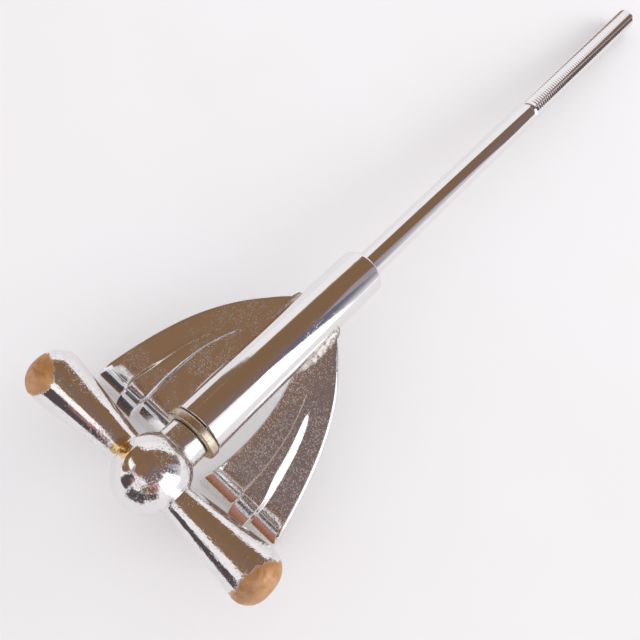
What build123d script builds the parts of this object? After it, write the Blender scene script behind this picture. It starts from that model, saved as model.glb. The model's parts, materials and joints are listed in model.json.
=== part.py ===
from build123d import *
import os
from math import cos, radians, sin, sqrt, tan

# Bass-drum tension rod with a T handle, its washer and its two-winged claw hook.
# Frame: +X runs along the rod from the T handle to the threaded tip, +Y runs to the left wing
# and +Z is up, away from the drum hoop. The origin lies midway along the length, on the plane
# of symmetry, level with the lowest edge of the hooks. Every size is in millimetres.

# --- Tension rod -------------------------------------------------------------------------
rod_diameter = 6.0
thread_diameter = 5.9
thread_length = 62.0
rod_reach = 192.5            # centre of the handle's ball to the tip
tip_chamfer = 0.7
relief_diameter = 5.2        # neck where the thread-cutting die ran out
relief_length = 0.9
tenon_diameter = 4.8         # the end that is pressed into the ball
tenon_depth = 9.0

# --- T handle and its collar -------------------------------------------------------------
ball_diameter = 13.9
handle_width = 56.2          # over both arms
arm_end_diameter = 10.2
arm_neck_diameter = 6.1
arm_end_round = 4.2
arm_root_fillet = 2.2
arm_end_setback = 4.4        # from the arm's end face to its thickest ring
collar_diameter = 8.6
collar_length = 3.3

# --- Washer ------------------------------------------------------------------------------
washer_diameter = 11.3
washer_thickness = 1.8
washer_chamfer = 0.4
washer_gap = 0.3             # daylight between the washer and the sleeve

# --- Claw sleeve -------------------------------------------------------------------------
sleeve_diameter = 10.6
sleeve_length = 48.3
sleeve_far_round = 0.9
sleeve_near_chamfer = 0.35
running_clearance = 0.1      # radial, round the rod

# --- Claw wings --------------------------------------------------------------------------
plate_thickness = 1.9
wing_slope = 23.2            # degrees, falling from the sleeve to the hook
wing_drop = 12.3             # rod axis down to the top of the plate where the hook starts
curl_setback = 0.5           # sleeve's near face to the line where the hook starts
curl_radius = 4.9            # outside of the bend
lip_length = 5.8             # flat of the hook below its bend
lip_corner_round = 1.3
wing_half_width = 24.0       # at the line where the hook starts
wing_inner_half_gap = 6.4    # same line, inner edge
wing_reach = 33.4            # that line to where the outer edge meets the sleeve, along X
flare_angle = 12.5           # of the outer edge at the hook, degrees off the rod's direction
sweep_angle = 56.0           # of the outer edge at the sleeve
edge_fullness = 0.42         # length of the edge's handles as a share of the wing's length
web_start = 20.5             # that line to where the inner edge dives under the sleeve
web_half_gap = 4.8           # inner edge where it dives under
web_tuck = 1.6               # inner edge once it is hidden in the sleeve
wing_tip_half_gap = 3.2      # outer edge where it meets the sleeve
inner_edge_bow = 1.35        # bulge of the inner edge over its chord

# --- Rib on each wing ----------------------------------------------------------------------
rib_offset = 15.5            # from the plane of symmetry, at the hook
rib_width = 5.4              # of its foot, at the hook
rib_height = 1.3
rib_far_width = 1.9
rib_far_height = 0.35
rib_reach = 21.6             # from the hook to the rib's far end, along X
rib_far_offset = 9.7
rib_inner_flank = 0.35       # run of the steep flank as a share of the rib's height
rib_outer_flank = 1.6        # run of the gentle flank, the same way
rib_root = 0.8               # foot of the rib below the plate's top
rib_edge_round = 0.45        # round of the rib's top edges as a share of its height
rib_nose_drop = 2.0          # how far the rib runs down the lip
rib_nose_round = 1.1
rib_sections = 5

# --- Braze metal -------------------------------------------------------------------------
braze_end_leg = 0.9
braze_middle_leg = 1.5
braze_root_depth = 0.8       # how far the fillet's root is sunk in the sleeve before it is trimmed
braze_lead = 1.5             # in from each end of the joint between wing and sleeve
braze_sections = 5

# --- Places worked out from the sizes ------------------------------------------------------
ball_radius = ball_diameter / 2
ball_x = -(rod_reach - ball_radius) / 2
collar_radius = collar_diameter / 2
seat_x = ball_x + sqrt(ball_radius**2 - collar_radius**2)
washer_x = seat_x + collar_length
sleeve_x = washer_x + washer_thickness + washer_gap
tip_x = ball_x + rod_reach
curl_x = sleeve_x + curl_setback
bend_angle = 90.0 - wing_slope
hook_drop = curl_radius * sin(radians(bend_angle)) + lip_length
axis_z = wing_drop + hook_drop
sleeve_radius = sleeve_diameter / 2
guide_radius = rod_diameter / 2 + running_clearance
thread_x = tip_x - thread_length
near = 0.01                  # two places closer than this are the same place


def along_x(x, z=axis_z):
    """Plane whose normal is +X, centred on the rod's axis at the given station."""
    return Plane(origin=(x, 0, z), x_dir=(0, 1, 0), z_dir=(1, 0, 0))


def rod_cylinder(radius, start, length):
    """Cylinder on the rod's axis that starts at x = start."""
    return extrude(along_x(start) * Circle(radius), amount=length)


def ring(outside, inside, start, length):
    """Tube on the rod's axis that starts at x = start."""
    return rod_cylinder(outside, start, length) - rod_cylinder(inside, start, length)


def circular_edges_at(solid, x, radius):
    """Rims of the given radius that lie in the plane at x."""
    rims = solid.edges().filter_by(GeomType.CIRCLE)
    return [rim for rim in rims if abs(rim.radius - radius) < near and abs(rim.center().X - x) < near]


def make_t_handle():
    """Ball and two arms that swell towards their blunt ends, cast in one."""
    half = handle_width / 2
    shoulder = half - arm_end_setback
    taper = (arm_end_diameter - arm_neck_diameter) / 2 / (shoulder - ball_radius)
    root_radius = arm_neck_diameter / 2 - taper * ball_radius
    profile = Circle(ball_radius)
    for side in (-1, 1):
        outline = [
            (0, 0),
            (root_radius, 0),
            (arm_end_diameter / 2, side * shoulder),
            (arm_end_diameter / 2, side * half),
            (0, side * half),
        ]
        profile += make_face(Polyline(*outline, close=True))
    profile &= Pos(half, 0) * Rectangle(handle_width, 2 * handle_width)
    roots = [v for v in profile.vertices() if v.X > near and abs(v.Y) < ball_radius]
    profile = fillet(roots, arm_root_fillet)
    ends = [v for v in profile.vertices() if v.X > near and abs(v.Y) > half - near]
    profile = fillet(ends, arm_end_round)
    handle = Pos(ball_x, 0, axis_z) * revolve(profile, axis=Axis.Y)
    handle -= rod_cylinder(tenon_diameter / 2, seat_x - tenon_depth, tenon_depth + ball_radius)
    handle -= rod_cylinder(ball_radius, seat_x, ball_radius)
    return handle


def make_neck_collar():
    """Round shoulder between the ball and the washer."""
    return ring(collar_radius, rod_diameter / 2, seat_x, collar_length)


def make_tension_rod():
    """Tenon in the ball, smooth shank, a short neck, and the end that carries the thread."""
    relief_x = thread_x - relief_length
    rod = rod_cylinder(tenon_diameter / 2, seat_x - tenon_depth, tenon_depth)
    rod += rod_cylinder(rod_diameter / 2, seat_x, relief_x - seat_x)
    rod += rod_cylinder(relief_diameter / 2, relief_x, relief_length)
    rod += rod_cylinder(thread_diameter / 2, thread_x, thread_length)
    return chamfer(circular_edges_at(rod, tip_x, thread_diameter / 2), tip_chamfer)


def make_washer():
    """Plain washer with softened rims."""
    washer = ring(washer_diameter / 2, guide_radius, washer_x, washer_thickness)
    rims = circular_edges_at(washer, washer_x, washer_diameter / 2)
    rims += circular_edges_at(washer, washer_x + washer_thickness, washer_diameter / 2)
    return chamfer(rims, washer_chamfer)


def make_claw_sleeve():
    """Straight tube that the rod runs through; the wings are brazed to its flanks."""
    end_x = sleeve_x + sleeve_length
    sleeve = ring(sleeve_radius, guide_radius, sleeve_x, sleeve_length)
    sleeve = fillet(circular_edges_at(sleeve, end_x, sleeve_radius), sleeve_far_round)
    return chamfer(circular_edges_at(sleeve, sleeve_x, sleeve_radius), sleeve_near_chamfer)


wing_length = wing_reach / cos(radians(wing_slope))
slope_scale = wing_length / wing_reach


# The wings are drawn on their plate: +X runs up the plate from the line where the hook
# starts, +Y runs outward, and Z = 0 is the plate's top. plate_place sets them in the claw.
plate_place = Pos(curl_x, 0, axis_z - wing_drop) * Rot(0, -wing_slope, 0)


def plate_arc(start_y, reach, end_y, bow):
    """Arc from the line where the hook starts, bulging outward by bow."""
    return SagittaArc((0, start_y), (reach * slope_scale, end_y), bow)


inner_edge = plate_arc(wing_inner_half_gap, web_start, web_half_gap, inner_edge_bow)
rib_end = (rib_reach * slope_scale, rib_far_offset)
rib_line = TangentArc((0, rib_offset), rib_end, tangent=(1, 0))


def make_outer_edge():
    """Convex outer edge: nearly straight at the hook, then sweeping in to the sleeve."""
    start = Vector(0, wing_half_width)
    end = Vector(wing_length, wing_tip_half_gap)
    flare = Vector(1, 0).rotate(Axis.Z, -flare_angle) * wing_length * edge_fullness
    sweep = Vector(1, 0).rotate(Axis.Z, -sweep_angle) * wing_length * edge_fullness
    return Bezier(start, start + flare, end - sweep, end)


outer_edge = make_outer_edge()


def led_back(edge):
    """Point reached by running an edge straight on, past the front of the hook."""
    direction = edge % 0
    lead = 2 * curl_radius
    return (-lead, (edge @ 0).Y - lead * direction.Y / direction.X)


def wing_outline():
    """Outline of the wing seen square to its plate, run on past the hook."""
    tuck = web_start * slope_scale + plate_thickness
    outline = outer_edge + inner_edge
    outline += Polyline(outer_edge @ 0, led_back(outer_edge), led_back(inner_edge), inner_edge @ 0)
    outline += Polyline(inner_edge @ 1, (tuck, web_tuck), (wing_length, 0), outer_edge @ 1)
    return make_face(outline)


def curled_band(above, below):
    """Plate, bend and lip of a wing as one band of even width, pulled out to the left."""
    centre = Vector(0, -curl_radius)
    spoke = Vector(0, 1).rotate(Axis.Z, bend_angle)
    lip = spoke.rotate(Axis.Z, 90) * lip_length
    outer_end = centre + spoke * (curl_radius + above)
    inner_end = centre + spoke * (curl_radius - below)
    plate_end = wing_length + sleeve_radius
    outline = CenterArc(centre, curl_radius + above, 90, bend_angle)
    outline += CenterArc(centre, curl_radius - below, 90, bend_angle)
    outline += Polyline((0, above), (plate_end, above), (plate_end, -below), (0, -below))
    outline += Polyline(outer_end, outer_end + lip, inner_end + lip, inner_end)
    return extrude(Plane.XZ * make_face(outline), amount=-handle_width)


def rib_profile(width, height):
    """Section of the rib: flat top, steep inner flank, gentle outer flank, sunk foot."""
    foot = width / 2
    inner = [(foot, -rib_root), (foot, 0), (foot - rib_inner_flank * height, height)]
    outer = [(rib_outer_flank * height - foot, height), (-foot, 0), (-foot, -rib_root)]
    profile = make_face(Polyline(*inner, *outer, close=True))
    return fillet(profile.vertices().group_by(Axis.Y)[-1], rib_edge_round * height)


def rib_section(share):
    """Section of the rib at a share of the way from the hook to its far end."""
    width = rib_width + (rib_far_width - rib_width) * share
    height = rib_height + (rib_far_height - rib_height) * share
    forward = rib_line % share
    plane = Plane(origin=rib_line @ share, x_dir=(forward.Y, -forward.X, 0), z_dir=-forward)
    return plane * rib_profile(width, height)


def make_rib():
    """Raised rib: a point near the sleeve, and a blunt nose that wraps over the hook."""
    steps = [step / (rib_sections - 1) for step in range(rib_sections)]
    on_plate = loft([rib_section(share) for share in steps])
    foot = Plane(origin=(0, rib_offset, 0), x_dir=(0, -1, 0), z_dir=(-1, 0, 0))
    section = foot * rib_profile(rib_width, rib_height)
    bend_axis = Axis((0, 0, -curl_radius), (0, 1, 0))
    over_bend = revolve(section, axis=bend_axis, revolution_arc=-bend_angle)
    down = Vector(-1, 0, 0).rotate(Axis.Y, -bend_angle)
    nose = extrude(section.rotate(bend_axis, -bend_angle), amount=rib_nose_drop, dir=down)
    end = nose.faces().sort_by(Axis((0, 0, 0), down))[-1]
    rims = end.edges().sort_by(Axis((0, 0, 0), down.rotate(Axis.Y, 90)))
    nose = fillet(rims[-1], rib_nose_round)
    return on_plate + over_bend + nose


def make_left_wing():
    """One wing of the claw: plate, curled hook and rib, cut to sit against the sleeve."""
    wing = curled_band(0, plate_thickness)
    wing &= extrude(wing_outline(), amount=2 * (curl_radius + lip_length), both=True)
    lip_end = wing.faces().filter_by(GeomType.PLANE).sort_by(Axis.Z)[0]
    wing = fillet(lip_end.edges().sort_by(SortBy.LENGTH)[:2], lip_corner_round)
    wing = plate_place * (wing + make_rib())
    return wing - rod_cylinder(sleeve_radius, sleeve_x, sleeve_length)


def make_left_braze():
    """Braze metal in the corner between the wing's top and the sleeve's flank."""
    start = web_start + braze_lead
    stop = wing_reach - braze_lead
    sections = []
    for step in range(braze_sections):
        share = step / (braze_sections - 1)
        reach = start + (stop - start) * share
        height = reach * tan(radians(wing_slope)) - wing_drop
        leg = braze_end_leg + (braze_middle_leg - braze_end_leg) * sin(radians(180 * share))
        corner = Vector(sqrt(sleeve_radius**2 - height**2), height)
        toe = corner + Vector(leg, 0)
        top = corner.rotate(Axis.Z, leg / radians(sleeve_radius))
        root = corner - corner.normalized() * braze_root_depth
        sections.append(along_x(curl_x + reach) * make_face(Polyline(root, toe, top, close=True)))
    braze = loft(sections, ruled=True)
    braze -= rod_cylinder(sleeve_radius, sleeve_x, sleeve_length)
    return braze - make_left_wing()


def mirrored(solid):
    """The same piece on the other side of the rod."""
    return mirror(solid, about=Plane.XZ)


def main():
    """Make every piece and write one file for each."""
    left_wing = make_left_wing()
    left_braze = make_left_braze()
    pieces = {
        "t_handle": make_t_handle(),
        "neck_collar": make_neck_collar(),
        "tension_rod": make_tension_rod(),
        "washer": make_washer(),
        "claw_sleeve": make_claw_sleeve(),
        "left_wing": left_wing,
        "right_wing": mirrored(left_wing),
        "left_braze": left_braze,
        "right_braze": mirrored(left_braze),
    }
    os.makedirs("parts", exist_ok=True)
    for name, piece in pieces.items():
        export_step(piece, f"parts/{name}.step")


if __name__ == "__main__":
    main()
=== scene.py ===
"""Looks of a bass-drum tension rod with its T handle, washer and two-winged claw hook.

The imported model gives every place. +X runs along the rod from the handle to the threaded tip,
+Y runs to the left wing and +Z is up. Lengths are metres, and angles in fields are degrees.
"""

from __future__ import annotations

import json
import logging
import math
from dataclasses import dataclass
from enum import Enum
from functools import cached_property, reduce
from typing import Callable, Iterable, Sequence

import bmesh
import bpy
from bmesh.types import BMesh, BMVert
from bpy.types import Material, Object, World
from mathutils import Matrix, Vector, noise
from mathutils.geometry import interpolate_bezier

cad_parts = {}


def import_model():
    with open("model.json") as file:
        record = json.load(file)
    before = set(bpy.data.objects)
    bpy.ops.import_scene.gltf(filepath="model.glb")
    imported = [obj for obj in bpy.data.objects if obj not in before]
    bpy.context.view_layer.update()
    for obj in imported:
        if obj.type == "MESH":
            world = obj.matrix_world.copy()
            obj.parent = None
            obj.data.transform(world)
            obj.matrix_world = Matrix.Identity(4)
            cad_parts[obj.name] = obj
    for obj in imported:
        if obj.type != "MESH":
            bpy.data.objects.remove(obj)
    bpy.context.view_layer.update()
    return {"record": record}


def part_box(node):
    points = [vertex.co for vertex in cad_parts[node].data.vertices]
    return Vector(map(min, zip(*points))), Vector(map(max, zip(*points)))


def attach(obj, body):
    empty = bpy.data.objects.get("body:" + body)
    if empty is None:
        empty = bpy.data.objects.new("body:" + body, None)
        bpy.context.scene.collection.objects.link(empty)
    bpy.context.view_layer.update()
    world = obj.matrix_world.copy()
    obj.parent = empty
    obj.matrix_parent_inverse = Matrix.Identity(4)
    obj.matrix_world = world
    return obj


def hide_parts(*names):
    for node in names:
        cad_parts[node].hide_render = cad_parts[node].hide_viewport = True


MM = 0.001
LOG = logging.getLogger("tension_rod")
SAME_PLACE = 1e-7
TINY = 1e-9
UP = Vector((0, 0, 1))

Triple = tuple[float, float, float]
Colour = Triple


class Body(Enum):
    """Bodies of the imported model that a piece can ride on."""

    CLAW = "claw"
    WASHER = "washer"
    T_ROD = "t_rod"


class Slot(Enum):
    """Material slots of the record."""

    HANDLE = "handle_chrome"
    COLLAR = "collar_chrome"
    ROD = "rod_chrome"
    WASHER = "washer_nickel"
    SLEEVE = "claw_chrome"
    WING = "wing_chrome"
    BRAZE = "braze_metal"


# ---- Shader building ----


def math_method(operation: str, swapped: bool = False) -> Callable[..., Value]:
    """Make a method of Value that adds one Math node.

    Args:
        operation: Blender's name of the operation.
        swapped: Whether the other operand comes first.

    Returns:
        The method.
    """

    def method(self: Value, other: float | Value) -> Value:
        """Result of the operation."""
        inputs = dict(enumerate((other, self) if swapped else (self, other)))
        return self.shader.node("ShaderNodeMath", {"operation": operation}, inputs)

    return method


@dataclass(frozen=True, eq=False)
class Value:
    """A number socket of a shader's node that can be written with in Python expressions."""

    shader: Shader
    socket: bpy.types.NodeSocket

    __add__ = math_method("ADD")
    __radd__ = math_method("ADD", swapped=True)
    __sub__ = math_method("SUBTRACT")
    __rsub__ = math_method("SUBTRACT", swapped=True)
    __mul__ = math_method("MULTIPLY")
    maximum = math_method("MAXIMUM")
    minimum = math_method("MINIMUM")

    def ramp(self, low: float, high: float) -> Value:
        """Smooth step from 0 at low to 1 at high."""
        inputs = {"Value": self, "From Min": low, "From Max": high}
        return self.shader.node("ShaderNodeMapRange", {"interpolation_type": "SMOOTHSTEP"}, inputs)


class Shader:
    """A node tree of a material or of the world, built through one general method."""

    def __init__(self, owner: Material | World) -> None:
        """Take a material or a world and empty its node tree.

        Args:
            owner: The material or the world.
        """
        owner.use_nodes = True
        self.owner = owner
        self.tree = owner.node_tree
        self.tree.nodes.clear()

    @classmethod
    def of_material(cls, name: str) -> Shader:
        """Shader of a new material."""
        return cls(bpy.data.materials.new(name))

    @cached_property
    def place(self) -> Value:
        """Place on the object."""
        return self.node("ShaderNodeTexCoord", output="Object")

    def node(
        self, kind: str, settings: dict | None = None, inputs: dict | None = None, output: int | str = 0
    ) -> Value:
        """Add a node.

        Args:
            kind: The node's type.
            settings: Properties that are set before the sockets.
            inputs: Numbers, colours or Values by socket name or index.
            output: The output socket that is wanted.

        Returns:
            The wanted output.
        """
        made = self.tree.nodes.new(kind)
        for name, value in (settings or {}).items():
            setattr(made, name, value)
        for name, value in (inputs or {}).items():
            socket = made.inputs[name]
            if isinstance(value, Value):
                self.tree.links.new(value.socket, socket)
            else:
                socket.default_value = value
        return Value(self, made.outputs[output])

    def noise(
        self, grain: float, detail: float = 3.0, place: Value | None = None, twist: float = 0.0
    ) -> Value:
        """Noise between 0 and 1.

        Args:
            grain: Size of the noise's lumps.
            detail: Number of finer layers.
            place: Where it is read, the object's own place if none is given.
            twist: How much the noise distorts itself.

        Returns:
            The noise.
        """
        inputs = {
            "Vector": place or self.place,
            "Scale": 1.0 / grain,
            "Detail": detail,
            "Roughness": 0.6,
            "Distortion": twist,
        }
        return self.node("ShaderNodeTexNoise", None, inputs)

    def cells(self, grain: float) -> Value:
        """Distance to the nearest of many points that lie about a grain apart, in grains."""
        inputs = {"Vector": self.place, "Scale": 1.0 / grain}
        return self.node("ShaderNodeTexVoronoi", None, inputs, "Distance")

    def mix(self, factor: Value | float, first: Colour | Value, second: Colour | Value) -> Value:
        """Blend of two colours, the first where the factor is 0 and the second where it is 1."""
        inputs = {0: factor, 6: opaque(first), 7: opaque(second)}
        return self.node("ShaderNodeMix", {"data_type": "RGBA"}, inputs, 2)

    def bump(self, height: Value, depth: float, strength: float = 1.0, below: Value | None = None) -> Value:
        """Normal bent by a height.

        Args:
            height: Height between 0 and 1.
            depth: Height in metres where it is 1.
            strength: How much of the bump shows.
            below: A normal that this one is laid on.

        Returns:
            The normal.
        """
        inputs = {"Height": height, "Distance": depth, "Strength": strength}
        if below is not None:
            inputs["Normal"] = below
        return self.node("ShaderNodeBump", None, inputs)

    def metal(
        self, colour: Value, roughness: Value, normal: Value, metallic: Value | float = 1.0
    ) -> Material:
        """End the material in a metal surface.

        Args:
            colour: Base colour.
            roughness: Roughness.
            normal: Normal.
            metallic: Share of metal.

        Returns:
            The material.
        """
        inputs = {"Base Color": colour, "Roughness": roughness, "Normal": normal, "Metallic": metallic}
        return self.end(self.node("ShaderNodeBsdfPrincipled", None, inputs))

    def end(self, surface: Value, kind: str = "ShaderNodeOutputMaterial") -> Material | World:
        """Join a surface to the output.

        Args:
            surface: The surface.
            kind: The output node's type.

        Returns:
            The material or the world.
        """
        output = self.tree.nodes.new(kind)
        self.tree.links.new(surface.socket, output.inputs["Surface"])
        return self.owner


def opaque(colour: Colour | Value) -> tuple[float, float, float, float] | Value:
    """Colour with full opacity, or the socket unchanged."""
    return colour if isinstance(colour, Value) else (*colour, 1.0)


# ---- Finishes ----


@dataclass(frozen=True)
class WornChrome:
    """Old chrome plate: bright, with hairline scratches, pits and dull patches.

    Attributes:
        pit_reach: Radius of a pit, in shares of the pits' grain.
        pit_cover: Share of the surface where the pits come.
        hair_turns: Direction of each family of scratches, in radians.
    """

    name: str
    tint: Colour = (0.84, 0.83, 0.83)
    pitted_tint: Colour = (0.60, 0.55, 0.51)
    gloss: float = 0.06
    pit_grain: float = 0.55 * MM
    pit_reach: float = 0.30
    pit_cover: float = 0.35
    pit_tone: float = 0.7
    pit_dullness: float = 0.42
    pit_depth: float = 0.02 * MM
    patch_grain: float = 7.0 * MM
    patch_blur: float = 0.12
    scratch_cover: float = 0.5
    scratch_dullness: float = 0.35
    hair_scale: Triple = (70.0, 2400.0, 2400.0)
    hair_turns: tuple[float, ...] = (0.3, -0.7, 1.4)
    haze_grain: float = 9.0 * MM
    haze_dullness: float = 0.05
    peel: float = 0.004 * MM
    peel_grain: float = 0.55 * MM
    peel_patch_grain: float = 6.0 * MM
    wave: float = 0.012 * MM
    wave_grain: float = 3.0 * MM

    def pits(self, shader: Shader) -> Value:
        """Mask of the pits, which come in patches.

        Args:
            shader: The shader being built.

        Returns:
            1 in a pit and 0 outside it.
        """
        dots = 1.0 - shader.cells(self.pit_grain).ramp(self.pit_reach * 0.5, self.pit_reach)
        worms = shader.noise(self.pit_grain * 0.8, 3.0, twist=1.6).ramp(0.60, 0.66)
        edge = 1.0 - self.pit_cover
        patches = shader.noise(self.patch_grain, 5.0, twist=0.7)
        return dots.maximum(worms) * patches.ramp(edge - self.patch_blur, edge + self.patch_blur)

    def scratches(self, shader: Shader) -> Value:
        """Mask of hairline scratches in three directions.

        Args:
            shader: The shader being built.

        Returns:
            A value near 1 on a scratch.
        """
        hairs = []
        for turn in self.hair_turns:
            inputs = {"Vector": shader.place, "Scale": self.hair_scale, "Rotation": (0.3, turn * 0.4, turn)}
            place = shader.node("ShaderNodeMapping", None, inputs)
            hairs.append(shader.noise(1.0, 2.0, place).ramp(0.70, 0.78))
        return reduce(Value.maximum, hairs) * self.scratch_cover

    def colour(self, shader: Shader, pits: Value) -> Value:
        """Tint of the plate with its pits."""
        return shader.mix(pits * self.pit_tone, self.tint, self.pitted_tint)

    def roughness(self, shader: Shader, pits: Value) -> Value:
        """Roughness of the plate with its pits and scratches."""
        return self.gloss + pits * self.pit_dullness + self.scratches(shader) * self.scratch_dullness

    def relief(self, shader: Shader, pits: Value) -> Value:
        """Normal of the plate: slow waves, a fine orange peel, and the pits.

        Args:
            shader: The shader being built.
            pits: Mask of the pits.

        Returns:
            The normal.
        """
        normal = shader.bump(shader.noise(self.wave_grain, 1.0), self.wave)
        patchy = shader.noise(self.peel_patch_grain, 2.0).ramp(0.35, 0.65)
        peel = shader.noise(self.peel_grain, 2.0) * (patchy * 0.75 + 0.25)
        normal = shader.bump(peel, self.peel, 1.0, normal)
        return shader.bump(1.0 - pits, self.pit_depth, 0.7, normal)

    def dress(self) -> Material:
        """Build the material.

        Returns:
            The material.
        """
        shader = Shader.of_material(self.name)
        pits = self.pits(shader)
        haze = shader.noise(self.haze_grain, 5.0, twist=0.4).ramp(0.45, 0.85)
        roughness = self.roughness(shader, pits) + haze * self.haze_dullness
        return shader.metal(self.colour(shader, pits), roughness, self.relief(shader, pits))


@dataclass(frozen=True)
class Patch:
    """A place on the plate: its middle, and how far it reaches along each axis."""

    centre: Vector
    reach: Vector


@dataclass(frozen=True)
class ChromeOverBrass:
    """Worn chrome over cast brass.

    Attributes:
        patches: Where the plate is gone and the brass shows.
        stains: Where the plate is thin and golden.
        raggedness: How far the borders of both wander, in shares of a patch's reach.
    """

    name: str
    chrome: WornChrome
    patches: tuple[Patch, ...]
    stains: tuple[Patch, ...]
    raggedness: float = 0.42
    border_grain: float = 2.4 * MM
    stain_grain: float = 2.4 * MM
    bloom_grain: float = 4.5 * MM
    patch_blur: float = 0.03
    stain_blur: float = 0.25
    gold: Colour = (0.84, 0.60, 0.28)
    brass: Colour = (0.52, 0.26, 0.085)
    pale_brass: Colour = (0.66, 0.40, 0.26)
    dull_brass: Colour = (0.31, 0.14, 0.040)
    brass_metal: float = 0.45
    brass_gloss: float = 0.44
    dull_gloss: float = 0.10
    plate_step: float = 0.04 * MM
    brass_grain: float = 0.35 * MM
    brass_relief: float = 0.008 * MM

    def cover(self, shader: Shader, patches: Sequence[Patch], blur: float) -> Value:
        """Mask of some patches, with jagged borders.

        Args:
            shader: The shader being built.
            patches: The patches.
            blur: How soft their borders are.

        Returns:
            1 inside a patch.
        """
        wander = (shader.noise(self.border_grain, 5.0, twist=1.4) - 0.5) * self.raggedness
        masks = []
        for patch in patches:
            scale = tuple(1.0 / size for size in patch.reach)
            offset = tuple(-c / size for c, size in zip(patch.centre, patch.reach))
            inputs = {"Vector": shader.place, "Scale": scale, "Location": offset}
            place = shader.node("ShaderNodeMapping", None, inputs)
            length = shader.node("ShaderNodeVectorMath", {"operation": "LENGTH"}, {0: place}, "Value")
            masks.append(1.0 - (length + wander).ramp(1.0 - blur, 1.0 + blur))
        return reduce(Value.maximum, masks)

    def dress(self) -> Material:
        """Build the material.

        Returns:
            The material.
        """
        shader = Shader.of_material(self.name)
        pits = self.chrome.pits(shader)
        bare = self.cover(shader, self.patches, self.patch_blur)
        thin = self.cover(shader, self.stains, self.stain_blur)
        stain = shader.noise(self.stain_grain, 6.0, twist=1.0).ramp(0.42, 0.70)
        bloom = shader.noise(self.bloom_grain, 2.0, twist=0.3).ramp(0.35, 0.7)
        plate = shader.mix(thin, self.chrome.colour(shader, pits), self.gold)
        metal = shader.mix(bloom * 0.7, self.brass, self.pale_brass)
        metal = shader.mix(stain * 0.6, metal, self.dull_brass)
        brass_gloss = self.brass_gloss + stain * self.dull_gloss
        roughness = self.chrome.roughness(shader, pits) * (1.0 - bare) + brass_gloss * bare
        normal = self.chrome.relief(shader, pits * (1.0 - bare))
        normal = shader.bump(1.0 - bare, self.plate_step, 1.0, normal)
        grain = shader.noise(self.brass_grain, 3.0)
        normal = shader.bump(grain * bare, self.brass_relief, 1.0, normal)
        metallic = 1.0 - bare * (1.0 - self.brass_metal)
        return shader.metal(shader.mix(bare, plate, metal), roughness, normal, metallic)


@dataclass(frozen=True)
class DullNickel:
    """Dull, slightly yellow nickel with a stained rim."""

    name: str
    tint: Colour = (0.66, 0.58, 0.46)
    grime_tint: Colour = (0.26, 0.19, 0.12)
    gloss: float = 0.24
    grime_dullness: float = 0.22
    rub_dullness: float = 0.14
    grime_grain: float = 1.3 * MM
    rub_grain: float = 0.18 * MM
    nick_grain: float = 0.5 * MM
    rub_height: float = 0.008 * MM
    nick_depth: float = 0.03 * MM

    def dress(self) -> Material:
        """Build the material.

        Returns:
            The material.
        """
        shader = Shader.of_material(self.name)
        grime = shader.noise(self.grime_grain, 5.0, twist=0.6).ramp(0.50, 0.78)
        rub = shader.noise(self.rub_grain, 3.0).ramp(0.3, 0.8)
        nicks = 1.0 - shader.cells(self.nick_grain).ramp(0.14, 0.26)
        colour = shader.mix(grime * 0.7, self.tint, self.grime_tint)
        roughness = self.gloss + grime * self.grime_dullness + rub * self.rub_dullness
        normal = shader.bump(rub, self.rub_height)
        normal = shader.bump(1.0 - nicks, self.nick_depth, 0.8, normal)
        return shader.metal(colour, roughness, normal)


@dataclass(frozen=True)
class RoughPlate:
    """Plate over braze metal that was never filed: lumpy and dull."""

    name: str
    tint: Colour = (0.70, 0.66, 0.63)
    hollow: Colour = (0.36, 0.31, 0.28)
    gloss: float = 0.34
    hollow_dullness: float = 0.2
    sparkle_dullness: float = 0.1
    lump_grain: float = 0.7 * MM
    sparkle_grain: float = 0.16 * MM
    lump_height: float = 0.07 * MM
    sparkle_height: float = 0.015 * MM

    def dress(self) -> Material:
        """Build the material.

        Returns:
            The material.
        """
        shader = Shader.of_material(self.name)
        lumps = shader.noise(self.lump_grain, 4.0, twist=0.5)
        # Darker and duller in the hollows between the lumps, where the bump is low.
        lump_hollows = 1.0 - lumps.ramp(0.34, 0.52)
        sparkle = shader.noise(self.sparkle_grain, 2.0)
        colour = shader.mix(lump_hollows * 0.8, self.tint, self.hollow)
        roughness = self.gloss + lump_hollows * self.hollow_dullness + sparkle * self.sparkle_dullness
        normal = shader.bump(lumps, self.lump_height)
        normal = shader.bump(sparkle, self.sparkle_height, 1.0, normal)
        return shader.metal(colour, roughness, normal)


# ---- Mesh building ----


@dataclass(frozen=True)
class Corner:
    """One corner of a profile that is turned round an axis.

    Attributes:
        along: Place along the axis.
        radius: Distance from the axis.
        cut: Length that the corner's rounding takes off each of its sides.
    """

    along: float
    radius: float
    cut: float = 0.0


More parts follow.
